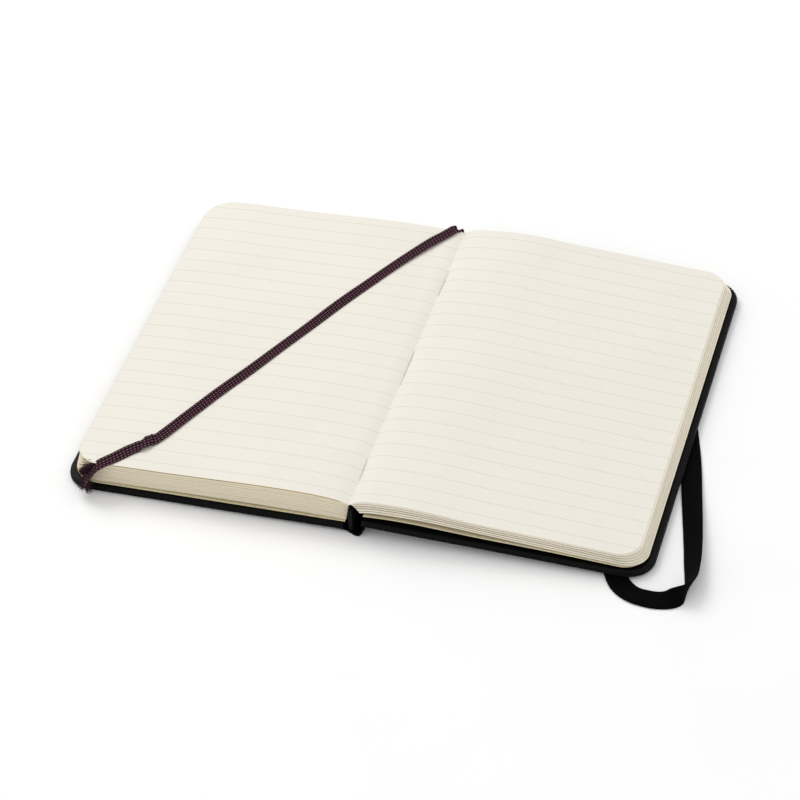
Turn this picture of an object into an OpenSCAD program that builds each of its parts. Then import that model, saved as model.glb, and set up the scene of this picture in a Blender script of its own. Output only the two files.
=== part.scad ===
// Pocket notebook with soft black covers, lying open on a table.
// X runs across the open spread, Y runs up the page, Z is up.
// The gutter, where the two half blocks meet, is at X = 0, and the table is at Z = 0.

/* [Covers] */
// Height of each cover, head to foot
cover_h = 140; // [130:1:150]
// Distance from the gutter to each cover's fore-edge
cover_reach = 91.5; // [91:0.5:94]
// Thickness of a cover board
board_t = 1.5; // [1.3:0.1:1.5]
// Thickness of the cover skin outside the board
skin_t = 0.5; // [0.4:0.1:0.6]
// Radius of the rounded corners
corner_r = 8.5; // [6:0.5:10]

/* [Pages] */
// Height of a page, head to foot
page_h = 137; // [126:1:137]
// Distance from the gutter to the pages' fore-edge
page_reach = 88.5; // [86:0.5:88.5]

/* [Ribbon and elastic] */
// Width of the ribbon bookmark
ribbon_w = 4.5; // [4:0.5:5]
// Width of the elastic band
elastic_w = 6.5; // [6:0.5:7]

/* [Hidden] */
$fn = 48;

// Covers: each is tilted a little, with its spine edge raised. The back one lies on the elastic.
paper_t = 0.3;
cover_t = board_t + skin_t + paper_t;
front_tilt = 0.5;
back_tilt = 2.1;
back_lift = 0.5;
spine_edge = 5;
cover_len = cover_reach - spine_edge;
turn_in = 2;

// Signatures in each half block, and a height that clears both blocks
left_signatures = 8;
right_signatures = 5;
block_room = 20;

// Spine: two stiff strips stand side by side under the gutter, each at the end of bare joint skin.
strip_t = 0.5;
strip_h = 7.7;
strip_end_gap = 0.1;
fold = [1.15, 0.75];
back_joint_start = [4.6, 4.2];
front_joint_line = [[-4.9, 0.9], [-1.4, 1.1], [0.55, 0.25]];
front_strip_x = 0.02;

// Pocket: a paper envelope glued flat inside the back cover, open towards the spine.
pocket_h = 128;
pocket_near = 8;
pocket_far = 78;
gusset_w = 7;
gusset_t = 0.12;
panel_t = 0.16;

// Flyleaves, gauze and gutter thread; lines and places are [x, z]
flyleaf_t = 0.2;
flyleaf_gap = 0.03;
gauze_t = 0.12;
gauze_line = [[1.3, 9.2], [3.5, 7.9]];
gauze_inset = 4;
thread_w = 0.4;
thread_t = 0.3;
thread_place = [-0.9, 10.1];
stitch_len = 24;
stitch_pitch = 34;

// Ribbon and elastic: thin flat bands swept along points [x, y, z].
// The section gives its corners as shares of half the width and half the thickness.
ribbon_t = 0.3;
elastic_t = 0.5;
band_section = [[-1, 0], [-0.9, -1], [0, -1], [0.9, -1], [1, 0], [0.9, 1], [0, 1], [-0.9, 1]];
steep_below = 0.5;
ribbon_route = [
    [-2.9, 69.5, 9.1], [-3.0, 69.95, 10.3], [-3.7, 69.6, 11.2], [-5.9, 64.9, 11.7], [-9.5, 58.8, 11.85],
    [-16.4, 46.8, 11.95], [-23, 34.1, 11.95], [-29.4, 21.4, 11.95], [-35.6, 8.3, 11.65], [-41.8, -4.3, 11.4],
    [-47.8, -16.7, 11.15], [-53.9, -28.7, 10.95], [-59.7, -40.9, 10.8], [-65.3, -52.9, 10.75],
    [-68.7, -57.4, 10.7], [-72.4, -61.4, 10.55], [-76.2, -65.7, 10.4], [-79.5, -69.8, 10.35],
    [-81, -71.3, 9.5], [-81.8, -72, 7.8], [-82.4, -72.5, 6], [-83, -72.9, 4.2]
];
elastic_route = [
    [80, 60, 0.52], [81, 40, 0.5], [83, 24, 0.35], [86.4, 10, 0.26], [90.4, -3, 0.26], [94.2, -17, 0.26],
    [97.4, -31, 0.26], [99.8, -42, 0.26], [102, -53, 0.26], [103.4, -62, 0.26], [103.8, -69, 0.26],
    [102.4, -74, 0.26], [98.8, -77, 0.26], [94, -78, 0.26], [89.1, -76.7, 0.26], [85, -73.6, 0.26],
    [82.2, -69.4, 0.3], [80.4, -65, 0.45], [79.4, -60, 0.54]
];

// Outlines of the half blocks seen from the foot, as [x, height of top] points.
left_top = [
    [0, 9.8], [-2, 10.4], [-5, 10.9], [-9, 11.3], [-16, 11.6], [-29, 11.6],
    [-46, 10.9], [-60, 10.4], [-74, 10.1], [-page_reach, 9.1]
];
right_top = [
    [0.35, 10.0], [1.2, 10.7], [3.8, 11.6], [8.2, 12.1], [15, 12.2],
    [25, 11.6], [39, 10.2], [59, 9.0], [page_reach, 7.0]
];
right_bottom = [
    [3.6, 7.9], [4.5, 8.1], [6.2, 8.4], [10, 8.6], [17, 8.7],
    [26, 8.5], [39, 7.5], [59, 5.9], [page_reach, 3.8]
];

function mix(a, b, s) = a + (b - a) * s;
function front_top_z(x) = cover_t + (cover_reach + x) * tan(front_tilt);
left_spine_x = -1.2;
left_bottom = [for (p = left_top) let (x = min(p[0], left_spine_x)) [x, front_top_z(x) + paper_t]];

// Layer between two shares of a half block's thickness, from 0 at the bottom to 1 at the top
function layer(bottom, top, low, high) = concat(
    [for (i = [0 : len(top) - 1]) mix(bottom[i], top[i], low)],
    [for (i = [len(top) - 1 : -1 : 0]) mix(bottom[i], top[i], high)]);

// Page outline seen from above: square at the gutter, round at the fore-edge
module page_outline(side) {
    x_round = page_reach - corner_r;
    y_round = page_h / 2 - corner_r;
    translate([side > 0 ? -2 : -x_round, -page_h / 2]) square([x_round + 2, page_h]);
    translate([side > 0 ? 0 : -page_reach, -y_round]) square([page_reach, 2 * y_round]);
    for (s = [-1, 1]) translate([side * x_round, s * y_round]) circle(corner_r);
}

// Slice of a half block with the profile points given as [x, z]
module leaves(profile, side) {
    intersection() {
        drawn_out(2 * page_h) polygon(profile);
        linear_extrude(block_room) page_outline(side);
    }
}

module left_signature(place) {
    leaves(layer(left_bottom, left_top, (place - 1) / left_signatures, place / left_signatures), -1);
}

module right_signature(place) {
    leaves(layer(right_bottom, right_top, (place - 1) / right_signatures, place / right_signatures), 1);
}

// Cover outline, with its spine edge at X = 0 and its fore-edge at X = cover_len
module cover_outline(inset) {
    r = corner_r;
    square_len = cover_len - r;
    h = cover_h / 2 - inset;
    translate([0, -h]) square([square_len, 2 * h]);
    translate([0, -h + r]) square([cover_len - inset, 2 * (h - r)]);
    for (s = [-1, 1]) translate([square_len - inset, s * (h - r)]) circle(r);
}

module cover_layer(inset, low, high) {
    translate([0, 0, low]) linear_extrude(high - low) cover_outline(inset);
}

// The skin is a tray that wraps the board's underside and edges.
module cover_skin() {
    difference() {
        cover_layer(0, 0, cover_t - paper_t);
        cover_layer(skin_t, skin_t, cover_t);
        translate([-turn_in, -cover_h / 2 + skin_t, skin_t])
            cube([2 * turn_in, cover_h - 2 * skin_t, cover_t]);
    }
}

module place_back() {
    translate([cover_reach, 0, back_lift]) rotate([0, back_tilt, 0])
        translate([-cover_len, 0, 0]) children();
}

module place_front() {
    mirror([1, 0, 0]) translate([cover_reach, 0, 0]) rotate([0, front_tilt, 0])
        translate([-cover_len, 0, 0]) children();
}

module board() {
    cover_layer(skin_t, skin_t, skin_t + board_t);
}

module pastedown() {
    cover_layer(turn_in, cover_t - paper_t, cover_t);
}

// Shape in the X-Z plane drawn out over a height in Y
module drawn_out(height) {
    rotate([90, 0, 0]) linear_extrude(height, center = true) children();
}

// Sheet of a given thickness lying under a line of [x, z] points
function under(line, thick) = concat(line, [for (i = [len(line) - 1 : -1 : 0]) line[i] - [0, thick]]);

// Flat band: one section of it at each point of its route. It lies level from side to side,
// or across X where it climbs steeply.
function unit(v) = v / norm(v);
function heading(route, i) =
    unit(route[min(i + 1, len(route) - 1)] - route[max(i - 1, 0)]);
function band_ring(route, i, w, t) =
    let (along = heading(route, i),
         level = norm([along[0], along[1]]),
         across = unit(cross(along, level > steep_below ? [0, 0, 1] : [0, 1, 0])),
         up = unit(cross(across, along)))
    [for (c = band_section) route[i] + across * c[0] * w / 2 + up * c[1] * t / 2];

module band(route, w, t) {
    sides = len(band_section);
    rings = len(route);
    points = [for (i = [0 : rings - 1]) each band_ring(route, i, w, t)];
    walls = [for (i = [0 : rings - 2]) for (j = [0 : sides - 1])
        let (a = i * sides + j, b = i * sides + (j + 1) % sides) [a, b, b + sides, a + sides]];
    start = [for (j = [sides - 1 : -1 : 0]) j];
    finish = [for (j = [0 : sides - 1]) (rings - 1) * sides + j];
    polyhedron(points, concat(walls, [start, finish]), convexity = 6);
}

module back_board() { color("dimgray") place_back() board(); }
module back_cover_skin() { color("black") place_back() cover_skin(); }
module back_pastedown() { color("ivory") place_back() pastedown(); }
module front_board() { color("dimgray") place_front() board(); }
module front_cover_skin() { color("black") place_front() cover_skin(); }
module front_pastedown() { color("ivory") place_front() pastedown(); }

module in_pocket(near, far, low, high, foot, head) {
    translate([near, foot, cover_t + low]) cube([far - near, head - foot, high - low]);
}

module pocket_panel() {
    color("ivory") place_back()
        in_pocket(pocket_near, pocket_far, gusset_t, gusset_t + panel_t, -pocket_h / 2, pocket_h / 2);
}

module pocket_gusset(side) {
    color("dimgray") place_back() {
        edge = side * pocket_h / 2;
        in_pocket(pocket_near, pocket_far, 0, gusset_t, min(edge, edge - side * gusset_w),
            max(edge, edge - side * gusset_w));
    }
}

module pocket_gusset_head() { pocket_gusset(1); }
module pocket_gusset_foot() { pocket_gusset(-1); }

module elastic_band() { color("black") band(elastic_route, elastic_w, elastic_t); }
module ribbon_bookmark() { color("maroon") band(ribbon_route, ribbon_w, ribbon_t); }

module front_flyleaf() {
    line = [for (p = left_bottom) p - [0, flyleaf_gap]];
    color("ivory") leaves(under(line, flyleaf_t), -1);
}

module back_flyleaf() {
    line = [for (i = [3 : len(right_bottom) - 1]) right_bottom[i] - [0, flyleaf_gap]];
    color("ivory") leaves(under(line, flyleaf_t), 1);
}

module signature_01() { color("ivory") left_signature(1); }
module signature_02() { color("linen") left_signature(2); }
module signature_03() { color("ivory") left_signature(3); }
module signature_04() { color("linen") left_signature(4); }
module signature_05() { color("ivory") left_signature(5); }
module signature_06() { color("linen") left_signature(6); }
module signature_07() { color("ivory") left_signature(7); }
module signature_08_left() { color("linen") left_signature(8); }
module signature_08_right() { color("linen") right_signature(5); }
module signature_09() { color("ivory") right_signature(4); }
module signature_10() { color("linen") right_signature(3); }
module signature_11() { color("ivory") right_signature(2); }
module signature_12() { color("linen") right_signature(1); }

// Gauze glued over the folds at the spine edge of the right half block
module spine_gauze() {
    color("gainsboro") drawn_out(page_h - 2 * gauze_inset) polygon(under(gauze_line, gauze_t));
}

// Stitches of the sewing thread that show along the gutter
module sewing_thread() {
    color("white") for (i = [-1 : 1])
        translate([thread_place[0], i * stitch_pitch - stitch_len / 2, thread_place[1]])
            cube([thread_w, stitch_len, thread_t]);
}

// The skin thins where it runs in under the strip, at the last point of its line.
module front_joint_skin() {
    thick = [strip_t, strip_t, strip_t / 2];
    top = [for (i = [2 : -1 : 0]) front_joint_line[i] + [0, thick[i]]];
    color("black") drawn_out(cover_h) polygon(concat(front_joint_line, top));
}

module front_spine_strip() {
    color("dimgray") translate([front_strip_x, -cover_h / 2, front_joint_line[1][1] + strip_end_gap])
        cube([strip_t, cover_h, strip_h]);
}

module back_joint_skin() {
    run = fold - back_joint_start;
    down = [-run[1], run[0]] / norm(run) * strip_t;
    color("black") drawn_out(cover_h)
        polygon([back_joint_start, fold, fold + down, back_joint_start + down]);
}

module back_spine_strip() {
    color("dimgray") translate([fold[0] - strip_t, -cover_h / 2, fold[1] + strip_end_gap])
        cube([strip_t, cover_h, strip_h]);
}

back_board();
back_cover_skin();
back_pastedown();
pocket_panel();
pocket_gusset_head();
pocket_gusset_foot();
elastic_band();
back_flyleaf();
signature_12();
signature_11();
signature_10();
signature_09();
signature_08_right();
front_board();
front_cover_skin();
front_pastedown();
front_flyleaf();
signature_01();
signature_02();
signature_03();
signature_04();
signature_05();
signature_06();
signature_07();
signature_08_left();
spine_gauze();
sewing_thread();
ribbon_bookmark();
front_joint_skin();
front_spine_strip();
back_joint_skin();
back_spine_strip();
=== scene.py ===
"""Pocket notebook lying open: its looks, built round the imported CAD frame.

Numbers in the tables and routes are millimetres; link_mesh() turns them into metres.
X runs across the spread from the gutter, Y up the page, and Z up from the table.
"""
import bisect
import math
import random

import bpy
from mathutils import Euler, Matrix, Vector


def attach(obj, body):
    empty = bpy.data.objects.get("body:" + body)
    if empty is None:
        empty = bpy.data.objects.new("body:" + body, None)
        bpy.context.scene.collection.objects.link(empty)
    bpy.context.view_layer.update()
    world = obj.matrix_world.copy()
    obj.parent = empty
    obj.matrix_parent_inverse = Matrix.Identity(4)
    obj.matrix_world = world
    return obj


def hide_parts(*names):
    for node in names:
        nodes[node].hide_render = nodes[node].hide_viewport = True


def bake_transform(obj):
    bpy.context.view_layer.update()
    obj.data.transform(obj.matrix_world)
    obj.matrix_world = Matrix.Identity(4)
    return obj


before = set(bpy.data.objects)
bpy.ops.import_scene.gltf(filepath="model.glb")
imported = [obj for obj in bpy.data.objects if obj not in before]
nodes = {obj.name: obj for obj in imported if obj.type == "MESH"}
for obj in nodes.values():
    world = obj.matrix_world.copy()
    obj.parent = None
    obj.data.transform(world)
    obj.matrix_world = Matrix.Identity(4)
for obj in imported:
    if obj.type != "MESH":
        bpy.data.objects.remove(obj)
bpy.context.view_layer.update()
MM = 0.001
LEFT, RIGHT = -1, 1
rng = random.Random(7)

# ---------------------------------------------------------------- camera

camera_data = bpy.data.cameras.new("camera")
camera_data.sensor_width = 36
camera_data.lens = 139.77
camera_data.clip_end = 20
camera = bpy.data.objects.new("camera", camera_data)
camera.location = (0.22416, -0.71968, 0.64025)
camera.rotation_mode = "YXZ"
camera.rotation_euler = Euler(
    (math.radians(49.32), math.radians(3.387), math.radians(13.12)), "YXZ"
)
bpy.context.scene.collection.objects.link(camera)
bpy.context.scene.camera = camera

# ---------------------------------------------------------------- mesh helpers

SHARP_ANGLE = math.radians(38)


def link_mesh(name, verts, faces):
    """A new mesh object from vertices in millimetres, smooth except at sharp edges."""
    mesh = bpy.data.meshes.new(name)
    mesh.from_pydata([Vector(v) * MM for v in verts], [], faces)
    mesh.validate()
    mesh.shade_smooth()
    mesh.set_sharp_from_angle(angle=SHARP_ANGLE)
    piece = bpy.data.objects.new(name, mesh)
    bpy.context.scene.collection.objects.link(piece)
    return piece


def join(parts):
    """One list of vertices and one of faces from several."""
    verts, faces = [], []
    for part_verts, part_faces in parts:
        first = len(verts)
        verts += part_verts
        faces += [tuple(first + v for v in face) for face in part_faces]
    return verts, faces


def store(piece, name, values):
    """Keep one number per vertex for the material to read."""
    attribute = piece.data.attributes.new(name, "FLOAT", "POINT")
    attribute.data.foreach_set("value", values)


def dress(piece, material, slot, body, *replaced):
    """Give a piece its material and its body, and hide the CAD nodes it stands for. slot is not used."""
    piece.data.materials.append(material)
    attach(piece, body)
    if replaced:
        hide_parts(*replaced)
    return piece


def spline(points, steps):
    """Catmull-Rom curve through tuples of any length, with steps between each two."""
    first = [2 * a - b for a, b in zip(points[0], points[1])]
    last = [2 * a - b for a, b in zip(points[-1], points[-2])]
    padded = [first, *points, last]
    curve = []
    for i in range(1, len(padded) - 2):
        quads = list(zip(*padded[i - 1 : i + 3]))
        for k in range(steps):
            t = k / steps
            curve.append(
                [
                    b
                    + 0.5 * t * (c - a + t * (2 * a - 5 * b + 4 * c - d + t * (3 * (b - c) + d - a)))
                    for a, b, c, d in quads
                ]
            )
    return [*curve, list(points[-1])]


def smoothstep(low, high, x):
    """0 below low, 1 above high, and a smooth rise between them."""
    t = min(1.0, max(0.0, (x - low) / (high - low)))
    return t * t * (3 - 2 * t)


def bump_at(x, centre, width):
    """A soft hump of height 1 at centre."""
    return math.exp(-(((x - centre) / width) ** 2))


def eased(table):
    """Height as a smooth function of distance, through (distance, height) points."""
    xs = [p[0] for p in table]
    zs = [p[1] for p in table]
    last = len(table) - 1
    slopes = []
    for i in range(last + 1):
        low, high = max(i - 1, 0), min(i + 1, last)
        slopes.append((zs[high] - zs[low]) / (xs[high] - xs[low]))

    def height(x):
        if x > xs[-1]:
            return zs[-1] + slopes[-1] * (x - xs[-1])
        x = max(x, xs[0])
        i = min(bisect.bisect_right(xs, x) - 1, last - 1)
        h = xs[i + 1] - xs[i]
        t = (x - xs[i]) / h
        ease = (3 - 2 * t) * t * t
        lean = t * (1 - t) * ((1 - t) * slopes[i] - t * slopes[i + 1])
        return zs[i] + (zs[i + 1] - zs[i]) * ease + h * lean

    return height


def tube(points, radius, sides=6, taper=1.0):
    """Closed tube along Vectors, thinning to taper times its radius at the end."""
    verts, faces = [], []
    for i, point in enumerate(points):
        along = (points[min(i + 1, len(points) - 1)] - points[max(i - 1, 0)]).normalized()
        side = along.cross(Vector((0.31, 0.17, 0.93))).normalized()
        up = side.cross(along)
        r = radius * (1 + (taper - 1) * i / (len(points) - 1))
        for j in range(sides):
            a = math.tau * j / sides
            verts.append(tuple(point + (side * math.cos(a) + up * math.sin(a)) * r))
    for i in range(len(points) - 1):
        for j in range(sides):
            a = i * sides + j
            b = i * sides + (j + 1) % sides
            faces.append((a, a + sides, b + sides, b))
    end = (len(points) - 1) * sides
    faces.append(tuple(range(sides)))
    faces.append(tuple(end + j for j in range(sides - 1, -1, -1)))
    return verts, faces


# ---------------------------------------------------------------- ribbon and elastic


STEEP = 0.5  # a band counts as steep where the level part of its unit heading is less than this
STEEP_BLEND = 0.1


class Band:
    """Flat band along stations of (x, y, z, roll in degrees, width)."""

    def __init__(self, stations, steps, thickness, columns):
        self.rows = spline(stations, steps)
        self.points = [Vector(row[:3]) for row in self.rows]
        self.thickness = thickness
        self.columns = columns
        self.along = [0.0]
        for a, b in zip(self.points, self.points[1:]):
            self.along.append(self.along[-1] + (b - a).length)

    def axes(self, i):
        """Directions across the band and out of its face at point i."""
        last = len(self.points) - 1
        heading = (self.points[min(i + 1, last)] - self.points[max(i - 1, 0)]).normalized()
        level = math.hypot(heading.x, heading.y)
        lean = smoothstep(STEEP - STEEP_BLEND, STEEP + STEEP_BLEND, level)
        flat = Vector((0, 1 - lean, lean))
        across = heading.cross(flat).normalized()
        up = across.cross(heading).normalized()
        roll = math.radians(self.rows[i][3])
        side = across * math.cos(roll) + up * math.sin(roll)
        face = up * math.cos(roll) - across * math.sin(roll)
        return side, face

    def mesh(self, name, relief):
        """relief(along, share) is how far the face stands out where share runs 0 to 1 across."""
        verts, faces, along, across = [], [], [], []
        n = self.columns
        for i, point in enumerate(self.points):
            side, up = self.axes(i)
            width = self.rows[i][4]
            for face in (1, -1):
                for k in range(n + 1):
                    share = k / n if face > 0 else 1 - k / n
                    edge = 1 - abs(2 * share - 1) ** 8
                    lift = relief(self.along[i], share)
                    half = self.thickness / 2 * (0.25 + 0.75 * edge)
                    place = point + side * (share - 0.5) * width + up * (lift + face * half)
                    verts.append(tuple(place))
                    along.append(self.along[i])
                    across.append(share)
        ring = 2 * (n + 1)
        for i in range(len(self.points) - 1):
            for j in range(ring):
                a = i * ring + j
                b = i * ring + (j + 1) % ring
                faces.append((a, b, b + ring, a + ring))
        end = (len(self.points) - 1) * ring
        faces.append(tuple(range(ring - 1, -1, -1)))
        faces.append(tuple(end + j for j in range(ring)))
        piece = link_mesh(name, verts, faces)
        store(piece, "along", along)
        store(piece, "across", across)
        return piece

    def declare(self):
        path = [tuple(p * MM) for p in self.points]
        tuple(path[0])


RIBBON_STATIONS = [
    (-2.2, 69.1, 8.6, 0, 3.4),
    (-2.4, 69.25, 9.6, 0, 3.7),
    (-3.1, 68.85, 10.75, 0, 3.9),
    (-4.4, 66.6, 11.05, 0, 3.9),
    (-5.9, 64.1, 11.15, 0, 3.9),
    (-9.5, 58.9, 11.2, 1, 3.8),
    (-16.4, 47, 11.15, -3, 3.8),
    (-23, 34.3, 11.2, 0, 3.7),
    (-29.4, 21.6, 11.3, 3, 3.7),
    (-35.6, 8.5, 11.2, 0, 3.7),
    (-41.8, -4.1, 11.08, -2, 3.7),
    (-47.8, -16.6, 10.98, 0, 3.8),
    (-53.9, -28.6, 10.9, 2, 3.8),
    (-59.7, -40.9, 10.8, 0, 3.9),
    (-65.3, -53, 10.76, -2, 4.1),
    (-68.7, -57.4, 10.75, 0, 4.5),
    (-72.4, -61.1, 10.66, 0, 4.6),
    (-75.8, -65.2, 10.52, 0, 4.5),
    (-78.8, -68.4, 10.35, -2, 4.5),
    (-80.4, -69.8, 9.6, -3, 4.5),
    (-81.7, -70.6, 8.1, -2, 4.6),
    (-82.9, -71.3, 6.3, 0, 4.8),
    (-84, -71.9, 4.7, 0, 5),
]
FOLD_AT = 143.6  # distance along the ribbon where it folds over itself
FOLD_SLANT = 3.2
FOLD_FLAT, FOLD_LENGTH = 3.0, 4.6
FOLD_LIFT = 0.7
STITCH_ROWS = 4
ribbon_band = Band(RIBBON_STATIONS, steps=22, thickness=0.3, columns=26)


def ribbon_relief(along, share):
    """Stitch rows, a crease that fades away from the head, and the short self-fold."""
    crease = -0.1 * (1 - smoothstep(3, 16, along)) * bump_at(share, 0.4, 0.12)
    beat = 0.6 + 0.4 * math.cos(math.tau * along / 1.1)
    rows = 0.04 * math.cos(math.tau * STITCH_ROWS * (share - 0.5)) * beat
    slant = along + FOLD_SLANT * share
    fold_ends = 1 - smoothstep(FOLD_AT + FOLD_FLAT, FOLD_AT + FOLD_LENGTH, slant)
    fold = FOLD_LIFT * smoothstep(FOLD_AT, FOLD_AT + 0.5, slant) * fold_ends
    pucker = 0.12 * math.sin(along * 1.9 + share * 5) * bump_at(along, FOLD_AT, 5)
    curl = 0.16 * (2 * share - 1) ** 2
    return crease + rows + fold + pucker + curl


ribbon = ribbon_band.mesh("ribbon", ribbon_relief)

EDGE_FRAY = 110
END_FRAY = 190
EDGE_ROWS = (30, 78)  # counted back from the band's end
END_ROWS = 26
EDGE_REACH = (1.5, 4.6)
END_REACH = (1.0, 3.0)
FRAY_WIDTH = 4.4
FRAY_WANDER = 0.28
FRAY_DROOP = 0.5
FRAY_RADIUS = (0.09, 0.16)


def fray_thread_tube(at, share, heading, reach, radius):
    """One loose thread from the ribbon, wandering and drooping as it goes."""
    side, _ = ribbon_band.axes(at)
    root = ribbon_band.points[at] + side * (share - 0.5) * FRAY_WIDTH
    points = []
    for k in range(7):
        t = k / 6
        wander = Vector((rng.uniform(-1, 1), rng.uniform(-1, 1), rng.uniform(-1, 1))) * FRAY_WANDER
        point = root + heading * reach * t + wander * t + Vector((0, 0, -FRAY_DROOP * t * t))
        point.z = max(point.z, 0.3)
        points.append(point)
    return tube(points, radius, sides=5, taper=0.6)


fray_parts = []
last_point = len(ribbon_band.points) - 1
for i in range(EDGE_FRAY):
    at = last_point - int(rng.uniform(*EDGE_ROWS))
    heading = Vector((-1, rng.uniform(-0.9, 0.3), rng.uniform(-0.45, 0.1))).normalized()
    share = rng.uniform(0.8, 1.0)
    reach = rng.uniform(*EDGE_REACH)
    fray_parts.append(fray_thread_tube(at, share, heading, reach, rng.uniform(*FRAY_RADIUS)))
for i in range(END_FRAY):
    at = last_point - int(rng.triangular(0, END_ROWS, 0))
    heading = Vector((rng.uniform(-1.1, 0.9), rng.uniform(-0.3, 0.15), -0.7)).normalized()
    share = rng.random()
    reach = rng.uniform(*END_REACH)
    fray_parts.append(fray_thread_tube(at, share, heading, reach, rng.uniform(*FRAY_RADIUS)))
fray = link_mesh("ribbon_fray", *join(fray_parts))

ELASTIC_STATIONS = [
    (80, 60, 0.5, 0, 6.5),
    (81, 40, 0.48, 0, 6.5),
    (83, 24, 0.42, 0, 6.5),
    (86.4, 10, 0.38, 0, 6.5),
    (90.4, -3, 0.38, 0, 6.4),
    (94.2, -17, 0.42, -2, 6.4),
    (97.3, -31, 0.85, -10, 6.4),
    (99.8, -42, 1.45, -20, 6.4),
    (102.2, -53, 1.95, -29, 6.4),
    (103.9, -62, 2.35, -39, 6.4),
    (105, -69, 2.85, -54, 6.4),
    (104.7, -73.6, 3.15, -76, 6.4),
    (103.3, -76, 2.9, -104, 6.2),
    (101.1, -77.3, 2, -140, 5.9),
    (98.2, -77.8, 1.05, -164, 6.1),
    (94.5, -77.9, 0.7, -174, 6.5),
    (89.2, -76.8, 0.45, -179, 6.7),
    (85, -73.9, 0.4, -180, 6.8),
    (82.2, -69.6, 0.38, -180, 6.6),
    (80.4, -65, 0.42, -180, 6.5),
    (79.4, -60, 0.48, -180, 6.5),
]
ELASTIC_CORDS = 6
elastic_band = Band(ELASTIC_STATIONS, steps=16, thickness=0.6, columns=36)


def elastic_relief(along, share):
    """Fine cords run along the elastic, with a slow waviness between them."""
    cords = 0.05 * math.cos(math.tau * ELASTIC_CORDS * share)
    return cords + 0.03 * math.sin(along * 0.7 + share * 4)


elastic = elastic_band.mesh("elastic", elastic_relief)

# ---------------------------------------------------------------- materials


class Nodes:
    """Builds one node material in the piece's own coordinates."""

    def __init__(self, name, roughness=0.6, specular=0.5):
        self.material = bpy.data.materials.new(name)
        self.material.use_nodes = True
        self.tree = self.material.node_tree
        self.shader = self.tree.nodes["Principled BSDF"]
        self.shader.inputs["Roughness"].default_value = roughness
        self.shader.inputs["Specular IOR Level"].default_value = specular
        self.place = self.tree.nodes.new("ShaderNodeTexCoord").outputs["Object"]

    def connect(self, node, inputs):
        for key, value in inputs.items():
            if isinstance(value, bpy.types.NodeSocket):
                self.tree.links.new(value, node.inputs[key])
            else:
                node.inputs[key].default_value = value
        return node

    def node(self, kind, inputs, **settings):
        node = self.tree.nodes.new("ShaderNode" + kind)
        for key, value in settings.items():
            setattr(node, key, value)
        return self.connect(node, inputs)

    def math(self, operation, a, b=0.0):
        return self.node("Math", {0: a, 1: b}, operation=operation).outputs[0]

    def stretched(self, x, y, z):
        return self.node("Mapping", {"Vector": self.place, "Scale": (x, y, z)}).outputs["Vector"]

    def noise(self, scale, detail=3.0, roughness=0.5, vector=None):
        place = vector or self.place
        inputs = {"Vector": place, "Scale": scale, "Detail": detail, "Roughness": roughness}
        return self.node("TexNoise", inputs).outputs["Fac"]

    def cells(self, scale, vector=None, feature="F1"):
        inputs = {"Vector": vector or self.place, "Scale": scale}
        return self.node("TexVoronoi", inputs, feature=feature).outputs["Distance"]

    def ramp(self, value, low, high, out_low=0.0, out_high=1.0):
        inputs = {"Value": value, "From Min": low, "From Max": high}
        inputs.update({"To Min": out_low, "To Max": out_high})
        return self.node("MapRange", inputs).outputs["Result"]

    def mix(self, factor, a, b):
        return self.node("Mix", {0: factor, 6: a, 7: b}, data_type="RGBA").outputs[2]

    def axis(self, name):
        return self.node("SeparateXYZ", {0: self.place}).outputs[name]

    def attribute(self, name):
        return self.node("Attribute", {}, attribute_name=name).outputs["Fac"]

    def finish(self, color, bumps, roughness=None):
        """bumps are (height, strength, distance), laid on in order."""
        self.connect(self.shader, {"Base Color": color})
        if roughness is not None:
            self.connect(self.shader, {"Roughness": roughness})
        under = {}
        for height, strength, distance in bumps:
            inputs = {"Height": height, "Strength": strength, "Distance": distance, **under}
            under = {"Normal": self.node("Bump", inputs).outputs["Normal"]}
        self.connect(self.shader, under)
        return self.material


def rgb(color, share=1.0):
    """A colour with its alpha, darkened or lightened by a share."""
    return (*[c * share for c in color], 1.0)


RULE_PITCH = 5.88
RULE_COUNT = 23
RULE_OFFSET = 0.2


def paper_material(name, tint, edge_tint):
    """Cream paper: cloudy formation and fibres, thin grey rules, and darker cut edges."""
    n = Nodes(name, roughness=0.7, specular=0.2)
    cloud = n.noise(42, 4, 0.6)
    fibre = n.noise(900, 2, 0.5, n.stretched(1, 0.35, 1))
    paper = n.mix(n.ramp(cloud, 0.3, 0.7), rgb(tint), rgb(tint, 0.975))
    paper = n.mix(n.ramp(fibre, 0.45, 0.8, 0, 0.05), paper, rgb((0.70, 0.64, 0.54)))
    millimetres = n.math("DIVIDE", n.axis("Y"), MM)
    step = n.math("DIVIDE", n.math("SUBTRACT", millimetres, RULE_OFFSET), RULE_PITCH)
    nearest = n.math("ROUND", step)
    away = n.math("MULTIPLY", n.math("ABSOLUTE", n.math("SUBTRACT", step, nearest)), RULE_PITCH)
    ink = n.ramp(away, 0.08, 0.2, 1, 0)
    printed = n.math("LESS_THAN", n.math("ABSOLUTE", nearest), RULE_COUNT / 2)
    uneven = n.ramp(n.noise(2200, 2), 0.3, 0.7, 0.35, 0.55)
    strength = n.math("MULTIPLY", n.math("MULTIPLY", ink, printed), uneven)
    paper = n.mix(strength, paper, rgb((0.55, 0.53, 0.49)))
    top = n.ramp(n.attribute("face_up"), 0.85, 0.98)
    paper = n.mix(top, rgb(edge_tint), paper)
    return n.finish(paper, [(cloud, 0.12, 0.0006), (fibre, 0.22, 0.00004)])


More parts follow.
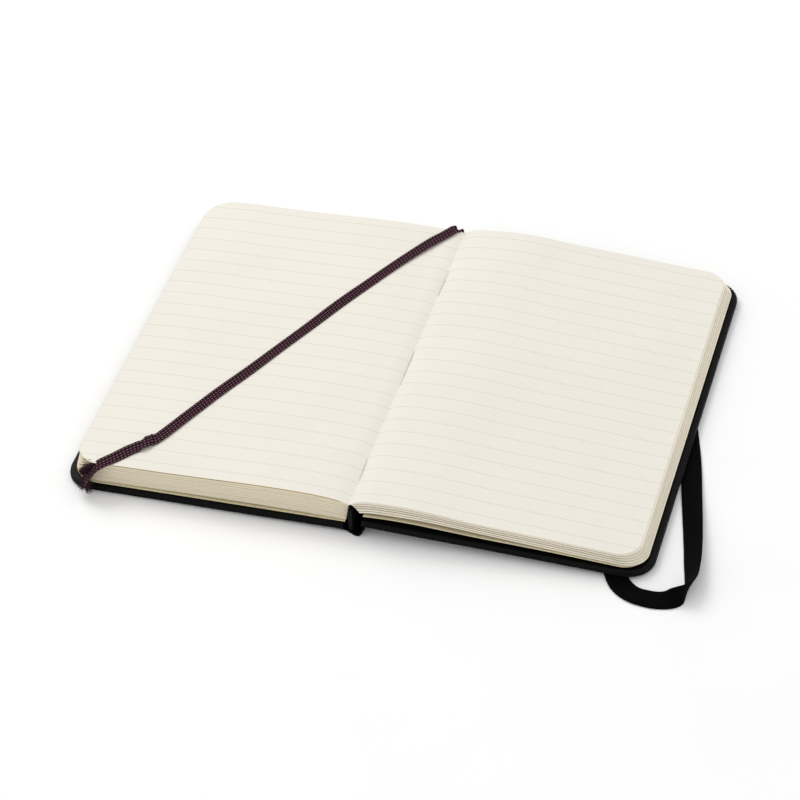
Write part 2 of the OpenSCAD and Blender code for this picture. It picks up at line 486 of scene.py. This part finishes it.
def leaf_edge_material(name, light, dark, line):
    """Cut edges of a stack of leaves: fine streaks, and a painted shade line where two signatures meet."""
    n = Nodes(name, roughness=0.8, specular=0.15)
    stack = {
        "X": n.math("MULTIPLY", n.attribute("layer"), 260.0),
        "Y": n.math("MULTIPLY", n.axis("Y"), 14.0),
        "Z": n.math("MULTIPLY", n.axis("X"), 14.0),
    }
    streak = n.noise(1.0, 3, 0.7, n.node("CombineXYZ", stack).outputs[0])
    color = n.mix(n.ramp(streak, 0.32, 0.68), rgb(dark), rgb(light))
    # Painted shade: leaves beside a gap between signatures take the line colour.
    color = n.mix(n.attribute("gap_shade"), color, rgb(line))
    return n.finish(color, [(streak, 0.3, 0.00005)])


def oilcloth_material(name, base, gloss):
    """Black cover cloth: pebbled grain, soft undulation and faint scuffs."""
    n = Nodes(name, roughness=gloss, specular=0.1)
    pebble = n.cells(1500, n.stretched(1, 0.8, 1))
    crease = n.cells(620, feature="DISTANCE_TO_EDGE")
    wave = n.noise(60, 3)
    scuff = n.ramp(n.noise(240, 5, 0.7, n.stretched(1, 3, 1)), 0.62, 0.8, 0, 0.3)
    tone = n.mix(n.ramp(wave, 0.3, 0.7), rgb((base, base, base * 1.05)), rgb((base, base, base), 1.7))
    tone = n.mix(scuff, tone, rgb((0.007, 0.0068, 0.0072)))
    rough = n.ramp(n.noise(400, 3), 0.3, 0.7, gloss - 0.06, gloss + 0.12)
    grain = [(pebble, 0.35, 0.00012), (n.ramp(crease, 0, 0.08), 0.25, 0.00008), (wave, 0.2, 0.0006)]
    return n.finish(tone, grain, rough)


def woven_material(name, dark, light, ribs, pick_mm, stitch_rows, stitch_mm, roughness):
    """Woven band, read from its own 'across' (0 to 1) and 'along' (mm)."""
    n = Nodes(name, roughness=roughness, specular=0.04)
    across = n.attribute("across")
    along = n.attribute("along")
    rib = n.math("SINE", n.math("MULTIPLY", across, ribs * math.tau))
    pick = n.math("SINE", n.math("MULTIPLY", along, math.tau / pick_mm))
    weave = n.math("MULTIPLY", rib, pick)
    fuzz = n.noise(2600, 3, 0.6)
    tone = n.mix(n.ramp(weave, -1, 1), rgb(dark), rgb(dark, 1.8))
    tone = n.mix(n.ramp(fuzz, 0.55, 0.9, 0, 0.2), tone, rgb(light))
    if stitch_rows:
        row = n.math("SUBTRACT", n.math("FRACT", n.math("MULTIPLY", across, stitch_rows)), 0.5)
        shifted = n.math("ADD", n.math("DIVIDE", along, stitch_mm), n.math("MULTIPLY", across, 1.3))
        dash = n.math("SUBTRACT", n.math("FRACT", shifted), 0.5)
        in_row = n.ramp(n.math("ABSOLUTE", row), 0.13, 0.22, 1, 0)
        in_dash = n.ramp(n.math("ABSOLUTE", dash), 0.24, 0.36, 1, 0)
        stitch = n.math("MULTIPLY", n.math("MULTIPLY", in_row, in_dash), 0.9)
        tone = n.mix(stitch, tone, rgb(light))
    n.shader.inputs["Sheen Weight"].default_value = 0.006
    n.shader.inputs["Sheen Roughness"].default_value = 0.45
    return n.finish(tone, [(rib, 0.5, 0.00012), (weave, 0.45, 0.0001), (fuzz, 0.2, 0.00004)])


def fibrous_material(name, color, scale, roughness=0.75, strength=0.3):
    """Card, board or thread: a flecked tone with a fine tooth."""
    n = Nodes(name, roughness=roughness, specular=0.2)
    fleck = n.noise(scale, 5, 0.65)
    tone = n.mix(n.ramp(fleck, 0.3, 0.7), rgb(color), rgb(color, 0.78))
    return n.finish(tone, [(fleck, strength, 0.0001)])


CREAM = (0.84, 0.805, 0.718)
GOLDEN = (0.66, 0.47, 0.20)
SHADED_CREAM = (0.66, 0.60, 0.48)
MAROON = (0.004, 0.0012, 0.0022)
PINK = (0.27, 0.11, 0.15)
BLACK = (0.0006, 0.0006, 0.0007)
SOOT = (0.003, 0.003, 0.0033)
left_paper = paper_material("left_paper", CREAM, GOLDEN)
right_paper = paper_material("right_paper", CREAM, SHADED_CREAM)
end_paper = fibrous_material("end_paper", (0.86, 0.76, 0.50), 700)
leaf_edges = {
    # The left edge tones are a darker, warmer copy of the right ones: painted shade on the foot edges,
    # which face away from the light.
    LEFT: leaf_edge_material(
        "left_edges_painted_shade", light=(0.82, 0.745, 0.585), dark=(0.78, 0.705, 0.55), line=(0.66, 0.58, 0.43)
    ),
    RIGHT: leaf_edge_material(
        "right_edges", light=(0.93, 0.88, 0.75), dark=(0.86, 0.80, 0.67), line=(0.34, 0.29, 0.21)
    ),
}
oilcloth = oilcloth_material("oilcloth", 0.0012, 0.38)
joint_cloth = oilcloth_material("joint_cloth", 0.0012, 0.44)
ribbon_weave = woven_material(
    "ribbon_weave", MAROON, PINK, ribs=11, pick_mm=0.6, stitch_rows=STITCH_ROWS, stitch_mm=1.2,
    roughness=0.5,
)
fray_thread = fibrous_material("fray_thread", (0.03, 0.008, 0.014), 1500, 0.7)
elastic_weave = woven_material(
    "elastic_weave", BLACK, SOOT, ribs=16, pick_mm=0.5, stitch_rows=0, stitch_mm=1, roughness=0.7
)
card_black = fibrous_material("card_black", (0.004, 0.004, 0.004), 900)
grey_board = fibrous_material("grey_board", (0.26, 0.25, 0.23), 500)
pocket_card = fibrous_material("pocket_card", (0.78, 0.73, 0.62), 700)
pocket_cloth = fibrous_material("pocket_cloth", (0.03, 0.03, 0.032), 1500, 0.85)
linen = fibrous_material("linen", (0.83, 0.81, 0.76), 2500, 0.6)
mull = fibrous_material("mull", (0.42, 0.40, 0.36), 2600, 0.85, 0.6)

dress(ribbon, ribbon_weave, "ribbon", "front_cover", "ribbon_bookmark")
dress(fray, fray_thread, "ribbon", "front_cover")
ribbon_band.declare()
dress(elastic, elastic_weave, "elastic", "back_cover", "elastic_band")
elastic_band.declare()

# ---------------------------------------------------------------- half blocks

PAGE_H = 137
PAGE_REACH = 88.5
PAGE_CORNER = {LEFT: 8.5, RIGHT: 7.0}

# How far the lowest leaf of a half block stands out past the top one: LEAF_SPREAD at the fore-edge,
# LEAF_FAN at head and foot.
LEAF_SPREAD = {LEFT: 1.9, RIGHT: 2.4}
LEAF_FAN = {LEFT: 0.0, RIGHT: 0.9}
# How far the middle leaf of a signature bulges, and how many of its leaves are darkened with painted shade
# where signatures meet.
SIGNATURE_BULGE = {LEFT: 0.12, RIGHT: 0.5}
GAP_SHADE_LEAVES = {LEFT: 1, RIGHT: 2}
LEAVES = 8
LEAF_FILL = 0.88  # a leaf's share of its room in the stack; the rest is the gap above it
LEAF_INSET = 0.25
# How far a flyleaf stands out past PAGE_REACH at the fore-edge, and past PAGE_H / 2 at head and foot.
FLYLEAF_SPREAD = {LEFT: 1.7, RIGHT: 1.6}
FLYLEAF_FAN = {LEFT: 0.5, RIGHT: 1.2}
FLYLEAF_T = 0.2

# Outlines of the half blocks and the flyleaves, as (distance from the gutter, height). rise() is added
# to the tops.
LEFT_TOP = eased([
    (0, 9.8), (2, 10.4), (5, 10.95), (9, 11.35), (16, 11.62), (29, 11.55), (46, 10.92), (60, 10.42),
    (74, 10.1), (88.5, 9.15),
])
LEFT_BOTTOM = eased([(1.2, 3.5), (20, 3.85), (45, 3.7), (70, 3.2), (88.5, 2.72)])
FRONT_FLYLEAF = eased([(1.2, 3.35), (45, 2.97), (88.5, 2.59)])
RIGHT_TOP = eased([
    (0, 9.8), (1.2, 10.6), (3.8, 11.6), (8.2, 12.1), (15, 12.2), (25, 11.6), (39, 10.2), (59, 9.0),
    (88.5, 7.0),
])
RIGHT_BOTTOM = eased([
    (3.6, 7.9), (6.2, 8.4), (10, 8.62), (17, 8.7), (26, 8.5), (39, 7.5), (59, 5.85), (88.5, 3.65),
])
BACK_FLYLEAF = eased([
    (4.4, 7.3), (10, 7.55), (15, 7.6), (22, 7.4), (28, 7.0), (39, 6.3), (59, 5.4), (70, 4.75),
    (83, 3.9), (88.5, 3.5),
])


def rise(side, x, y):
    """Height added to a half block's top outline. Towards the head the right rises and the left sinks."""
    share = y / PAGE_H + 0.5
    if side == LEFT:
        return -1.2 * share * smoothstep(0.5, 9, x) * (1 - 0.35 * smoothstep(40, 80, x))
    return (0.2 + 0.95 * share) * smoothstep(3, 26, x) * (1 - 0.6 * smoothstep(35, 80, x))


def slab(side, xs, half, low, high, rows=1):
    """Closed sheet over the distances xs. half(x) is half its extent in Y; low and high take (x, y)."""
    verts = []
    for level in (high, low):
        for x in xs:
            for j in range(rows + 1):
                y = half(x) * (2 * j / rows - 1)
                verts.append((side * x, y, level(x, y)))
    wide, last = rows + 1, len(xs) - 1
    under = wide * len(xs)
    faces = []
    for i in range(last):
        for j in range(rows):
            a = i * wide + j
            faces.append((a, a + wide, a + wide + 1, a + 1))
            faces.append((under + a + 1, under + a + wide + 1, under + a + wide, under + a))
    rim = [i * wide for i in range(last + 1)]
    rim += [last * wide + j for j in range(1, wide)]
    rim += [i * wide + rows for i in range(last - 1, -1, -1)]
    rim += list(range(rows - 1, 0, -1))
    for a, b in zip(rim, rim[1:] + rim[:1]):
        faces.append((b, a, under + a, under + b))
    if side == LEFT:
        faces = [face[::-1] for face in faces]
    return verts, faces


def half_height(reach, corner, longer=0.0):
    """Half a page's height at a distance from the gutter, drawn in at the rounded corners."""

    def half(x):
        inside = min(max(corner - (reach - x), 0.0), corner)
        return PAGE_H / 2 + longer - corner + math.sqrt(corner**2 - inside**2)

    return half


BEND_ENDS = 22  # distance from the gutter where a leaf's sharp bend is over


def columns(start, reach, corner, bends=24, flats=14, turns=10):
    """Distances from the gutter: close together at the gutter and round the corners."""
    straight_ends = reach - corner
    near = [start + (BEND_ENDS - start) * (i / bends) ** 1.6 for i in range(bends)]
    middle = [BEND_ENDS + (straight_ends - BEND_ENDS) * i / flats for i in range(flats)]
    rounded = [straight_ends + corner * math.sin(math.pi / 2 * i / turns) for i in range(turns + 1)]
    return near + middle + rounded


def make_signature(name, side, body, bottom, top, starts, place, count):
    """A signature as separate leaves, each a little out of line with the next."""
    parts, layers, gap_shade = [], [], []
    corner = PAGE_CORNER[side]
    for k in range(LEAVES):
        low_share = (place + k / LEAVES) / count
        high_share = (place + (k + LEAF_FILL) / LEAVES) / count
        bulge = SIGNATURE_BULGE[side] * math.sin(math.pi * (k + 0.5) / LEAVES)
        spread = LEAF_SPREAD[side] * (1 - low_share)
        reach = PAGE_REACH + spread - LEAF_INSET + bulge + rng.uniform(-0.05, 0.05)
        start = starts[0] + (starts[1] - starts[0]) * low_share

        def level(share):
            return lambda x, y: bottom(x) + (top(x) + rise(side, x, y) - bottom(x)) * share

        half = half_height(reach, corner, LEAF_FAN[side] * (1 - low_share) + rng.uniform(-0.1, 0.02))
        xs = columns(start, reach, corner)
        part = slab(side, xs, half, level(low_share), level(high_share))
        parts.append(part)
        layers += [low_share] * len(part[0])
        # The lowest leaves of each signature are marked for the painted shade of the gap below them.
        gap_shade += [1.0 if k < GAP_SHADE_LEAVES[side] else 0.0] * len(part[0])
    piece = link_mesh(name, *join(parts))
    store(piece, "layer", layers)
    store(piece, "gap_shade", gap_shade)
    return dress(piece, leaf_edges[side], "page_paper", body, name)


def make_page(name, side, body, top, start, reach, material, lift, curl=0.0, thickness=0.09):
    """One ruled leaf lying on a half block, with gentle ripples and a lifted foot corner."""
    rows = 56

    def high(x, y):
        ripple = 0.05 * math.sin(y / 17 + side + lift * 9) * math.sin(x / 26 + y / 60)
        foot_corner = smoothstep(66, 92, x) * smoothstep(30, 72, -y)
        height = top(x) + rise(side, x, y) + 0.04 + lift * smoothstep(0, 5, x)
        return height + ripple * smoothstep(4, 40, x) + curl * foot_corner

    def low(x, y):
        return high(x, y) - thickness

    corner = PAGE_CORNER[side]
    xs = columns(start, reach, corner, bends=34, flats=40, turns=14)
    verts, faces = slab(side, xs, half_height(reach, corner), low, high, rows)
    piece = link_mesh(name, verts, faces)
    count = len(verts) // 2
    store(piece, "face_up", [1.0] * count + [0.0] * count)
    return dress(piece, material, "page_paper", body)


LEFT_NAMES = [f"signature_{i:02d}" for i in range(1, 8)] + ["signature_08_left"]
RIGHT_NAMES = ["signature_12", "signature_11", "signature_10", "signature_09", "signature_08_right"]
LEFT_STARTS = (1.2, 0.05)  # how far from the gutter the lowest and the highest leaf begin
RIGHT_STARTS = (3.6, 0.35)
for i, name in enumerate(LEFT_NAMES):
    make_signature(name, LEFT, "front_cover", LEFT_BOTTOM, LEFT_TOP, LEFT_STARTS, i, len(LEFT_NAMES))
for i, name in enumerate(RIGHT_NAMES):
    make_signature(name, RIGHT, "right_pages", RIGHT_BOTTOM, RIGHT_TOP, RIGHT_STARTS, i, len(RIGHT_NAMES))
make_page("left_page", LEFT, "front_cover", LEFT_TOP, 0.0, PAGE_REACH, left_paper, lift=0.3, curl=0.25)
LOOSE_LEAVES = 3
for k in range(LOOSE_LEAVES):
    reach = PAGE_REACH + 0.12 * (k + 1)
    lift = 0.05 + 0.08 * (2 - k)
    curl = 0.16 - 0.08 * k
    leaf = f"left_leaf_{k + 1}"
    make_page(leaf, LEFT, "front_cover", LEFT_TOP, 3.0, reach, left_paper, lift, curl, thickness=0.14)
make_page("right_page", RIGHT, "right_pages", RIGHT_TOP, 0.0, PAGE_REACH - 0.1, right_paper, lift=0.07)


def make_flyleaf(name, side, body, line, start, replaced):
    """Single end leaf hanging between a half block and its cover."""
    reach = PAGE_REACH + FLYLEAF_SPREAD[side]
    corner = PAGE_CORNER[side]
    half = half_height(reach, corner, FLYLEAF_FAN[side])
    rows = 30

    def high(x, y):
        return line(x) + 0.06 * math.sin(y / 13) * smoothstep(10, 60, x)

    def low(x, y):
        return high(x, y) - FLYLEAF_T

    verts, faces = slab(side, columns(start, reach, corner), half, low, high, rows)
    return dress(link_mesh(name, verts, faces), end_paper, "end_paper", body, replaced)


make_flyleaf("front_flyleaf_sheet", LEFT, "front_cover", FRONT_FLYLEAF, 1.4, "front_flyleaf")
make_flyleaf("back_flyleaf_sheet", RIGHT, "right_pages", BACK_FLYLEAF, 4.6, "back_flyleaf")

# Stitches that show in the gutter, as (upper y, lower y, upper x, lower x).
STITCHES = [(47.5, 34.5, 0.35, 0.0), (5.3, -11.2, 0.0, 0.2), (-47.2, -57.3, -0.3, 0.15)]
THREAD_Z = 10.0
THREAD_RADIUS = 0.17
stitches = []
for top_y, low_y, top_x, low_x in STITCHES:
    line = []
    for k in range(9):
        t = k / 8
        arch = 0.12 * math.sin(math.pi * t)
        x = top_x + (low_x - top_x) * t - 0.15
        line.append(Vector((x, top_y + (low_y - top_y) * t, THREAD_Z + arch)))
    stitches.append(tube(line, THREAD_RADIUS))
dress(link_mesh("gutter_thread", *join(stitches)), linen, "thread", "front_cover", "sewing_thread")

# ---------------------------------------------------------------- covers

COVER_H = 140
COVER_REACH = 91.5
COVER_LEN = 86.5
COVER_CORNER = 8.5
COVER_TILT = {LEFT: math.radians(0.5), RIGHT: math.radians(2.1)}
COVER_LIFT = {LEFT: 0.0, RIGHT: 0.5}
# How much further than the CAD cover the cloth reaches, at the fore-edge, and at head and foot.
COVER_GROWTH = {LEFT: (0.6, 0.3), RIGHT: (1.4, 0.9)}

# Section through a cover's edge, as (distance in from the edge, height), from underneath to on top.
EDGE_SECTION = [
    (4.0, 0.0), (1.0, 0.0), (0.5, 0.05), (0.12, 0.28), (0.0, 0.55), (0.24, 0.74), (0.06, 0.94),
    (0.0, 1.16), (0.26, 1.36), (0.1, 1.56), (0.14, 1.85), (0.42, 2.05), (0.9, 2.14), (1.5, 2.12),
    (2.6, 2.06), (4.0, 2.03),
]
PLEATS = 9
PLEAT_DEPTH = 0.12
# Steps of a cover's outline: along head or foot, round a corner, and up half the fore-edge.
LONG_STEPS, CORNER_STEPS, SHORT_STEPS = 30, 40, 20


def cover_ring(inset, height, upper, start):
    """One closed line round a cover, at a distance in from its edge, beginning at u = start."""
    r = COVER_CORNER
    arc_x = COVER_LEN - r
    arc_y = COVER_H / 2 - r
    ring = []
    for sign in (-1, 1):
        part = [
            (start + (arc_x - start) * k / LONG_STEPS, COVER_H / 2 - inset, 0.0) for k in range(LONG_STEPS)
        ]
        for k in range(CORNER_STEPS + 1):
            a = math.pi / 2 * k / CORNER_STEPS
            dip = PLEAT_DEPTH * (math.sin(2 * PLEATS * a) ** 2 * math.sin(2 * a) * upper)
            reach = r - inset - dip
            part.append((arc_x + reach * math.sin(a), arc_y + reach * math.cos(a), -dip))
        side = [
            (COVER_LEN - inset, arc_y * (1 - k / SHORT_STEPS), 0.0) for k in range(1, SHORT_STEPS + 1)
        ]
        part += side if sign < 0 else side[:-1]
        if sign > 0:
            part.reverse()
        ring += [(u, sign * y, height + lift) for u, y, lift in part]
    return ring


def place_cover(side, u, y, w):
    """From a cover's own plane, with u from its spine edge, into the open spread."""
    tilt = COVER_TILT[side]
    wider, taller = COVER_GROWTH[side]
    x = (u - COVER_LEN) * math.cos(tilt) + w * math.sin(tilt) + COVER_REACH
    x += wider * max(u, 0) / COVER_LEN
    y *= 1 + 2 * taller / COVER_H
    z = (COVER_LEN - u) * math.sin(tilt) + w * math.cos(tilt) + COVER_LIFT[side]
    return side * x, y, z


def make_cover(name, side, body, start, replaced):
    """Cover skin as a closed shell with a soft rounded edge and pleated corners."""
    verts, faces = [], []
    for inset, height in EDGE_SECTION:
        upper = smoothstep(0.9, 1.6, height) * (1 - smoothstep(1.5, 4.0, inset))
        for u, y, w in cover_ring(inset, height, upper, start):
            sway = 0.1 * math.sin(u / 11 + side) + 0.08 * math.sin(y / 15)
            verts.append(place_cover(side, u, y + 0.5 * sway * (y / 70), w + 0.15 * sway * upper))
    count = len(verts) // len(EDGE_SECTION)
    for i in range(len(EDGE_SECTION) - 1):
        for j in range(count):
            a = i * count + j
            b = i * count + (j + 1) % count
            faces.append((a, b, b + count, a + count))
    top = (len(EDGE_SECTION) - 1) * count
    faces.append(tuple(range(count - 1, -1, -1)))
    faces.append(tuple(top + j for j in range(count)))
    if side == LEFT:
        faces = [face[::-1] for face in faces]
    return dress(link_mesh(name, verts, faces), oilcloth, "cover_skin", body, replaced)


def make_pastedown(name, side, body, replaced):
    """End paper glued inside a cover, stopping short of the turned-in cloth."""
    start, inset, corner = 1.0, 4.6, 5.0
    underside, face = 2.0, 2.3
    reach = COVER_LEN - inset
    half = half_height(reach, corner, COVER_H / 2 - inset - PAGE_H / 2)
    xs = columns(start, reach, corner)
    verts, faces = slab(side, xs, half, lambda x, y: underside, lambda x, y: face)
    verts = [place_cover(side, abs(x), y, w) for x, y, w in verts]
    return dress(link_mesh(name, verts, faces), end_paper, "end_paper", body, replaced)


make_pastedown("front_pastedown_sheet", LEFT, "front_cover", "front_pastedown")
make_pastedown("back_pastedown_sheet", RIGHT, "back_cover", "back_pastedown")
make_cover("front_cover_cloth", LEFT, "front_cover", start=-3.3, replaced="front_cover_skin")
make_cover("back_cover_cloth", RIGHT, "back_cover", start=-0.8, replaced="back_cover_skin")

JOINT_T = 0.5
FOLD_X = 2.9
FOLD_FULLNESS = 1.2  # how much further than COVER_H / 2 the cloth reaches at its fold
FOLD_WIDTH = 2.2


def make_joint(name, line):
    """Bare cover cloth over the full height, bent along a line of (x, z) points, fuller at its fold."""
    curve = [(x, z) for x, z in spline(line, 6)]
    section = []
    for i, (x, z) in enumerate(curve):
        before, after = curve[max(i - 1, 0)], curve[min(i + 1, len(curve) - 1)]
        run = math.dist(before, after)
        across = (after[1] - before[1]) / run * JOINT_T
        up = (after[0] - before[0]) / run * JOINT_T
        section.append((x - across, z + up))
    outline = curve + section[::-1]
    rows = 40
    verts, faces = [], []
    for j in range(rows + 1):
        for x, z in outline:
            y = (COVER_H + 2 * FOLD_FULLNESS * bump_at(x, FOLD_X, FOLD_WIDTH)) * (j / rows - 0.5)
            verts.append((x, y, z + 0.05 * math.sin(y / 9 + x)))
    count = len(outline)
    for j in range(rows):
        for i in range(count):
            a = j * count + i
            b = j * count + (i + 1) % count
            faces.append((a, a + count, b + count, b))
    faces.append(tuple(range(count)))
    faces.append(tuple(rows * count + i for i in range(count - 1, -1, -1)))
    return link_mesh(name, verts, faces)


FRONT_LINE = [(-2.6, 0.75), (-1.2, 0.75), (0, 0.5), (1.3, 0.15), (2.3, 0.05), (FOLD_X, 0.05)]
BACK_LINE = [(FOLD_X, 0.05), (3.6, 0.2), (4.3, 1.0), (5.0, 2.3), (5.5, 3.3), (6.1, 3.6)]
front_joint = make_joint("front_joint_cloth", FRONT_LINE)
dress(front_joint, joint_cloth, "joint_skin", "front_cover", "front_joint_skin")
back_joint = make_joint("back_joint_cloth", BACK_LINE)
back_joint.data.materials.append(joint_cloth)
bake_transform(back_joint)
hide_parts("back_joint_skin")

KEPT_NODES = {
    "front_board": (grey_board, "cover_board"),
    "back_board": (grey_board, "cover_board"),
    "pocket_panel": (pocket_card, "pocket_paper"),
    "pocket_gusset_head": (pocket_cloth, "pocket_cloth"),
    "pocket_gusset_foot": (pocket_cloth, "pocket_cloth"),
    "spine_gauze": (mull, "gauze"),
    "front_spine_strip": (card_black, "spine_liner"),
    "back_spine_strip": (card_black, "spine_liner"),
}
for name, (material, slot) in KEPT_NODES.items():
    nodes[name].data.materials.clear()
    nodes[name].data.materials.append(material)

# ---------------------------------------------------------------- floor and light

FLOOR_HALF = 2500
FLOOR_Z = -0.05


def floor_material():
    """White, with the faintest mottling."""
    n = Nodes("floor", roughness=0.6, specular=0.2)
    mottle = n.noise(30, 3)
    color = n.mix(mottle, rgb((0.99, 0.99, 0.99)), rgb((0.96, 0.96, 0.96)))
    return n.finish(color, [(mottle, 0.02, 0.0005)])


corner_signs = [(-1, -1), (1, -1), (1, 1), (-1, 1)]
floor_corners = [(x * FLOOR_HALF, y * FLOOR_HALF, FLOOR_Z) for x, y in corner_signs]
floor = link_mesh("floor", floor_corners, [(0, 1, 2, 3)])
floor.data.materials.append(floor_material())

world = bpy.data.worlds.new("world")
bpy.context.scene.world = world
world.use_nodes = True
background = world.node_tree.nodes["Background"]
background.inputs["Color"].default_value = (1, 1, 1, 1)
background.inputs["Strength"].default_value = 0.735


def add_light(name, place, size, power):
    """Soft square light pointing at the middle of the notebook."""
    data = bpy.data.lights.new(name, "AREA")
    data.size = size
    data.energy = power
    light = bpy.data.objects.new(name, data)
    light.location = place
    light.rotation_euler = (-Vector(place)).to_track_quat("-Z", "Y").to_euler()
    bpy.context.scene.collection.objects.link(light)


add_light("key", (-0.75, 0.65, 1.1), size=0.8, power=8.3)
add_light("fill", (0.5, -1.0, 0.9), size=1.2, power=2.2)

bpy.context.scene.view_settings.view_transform = "Standard"
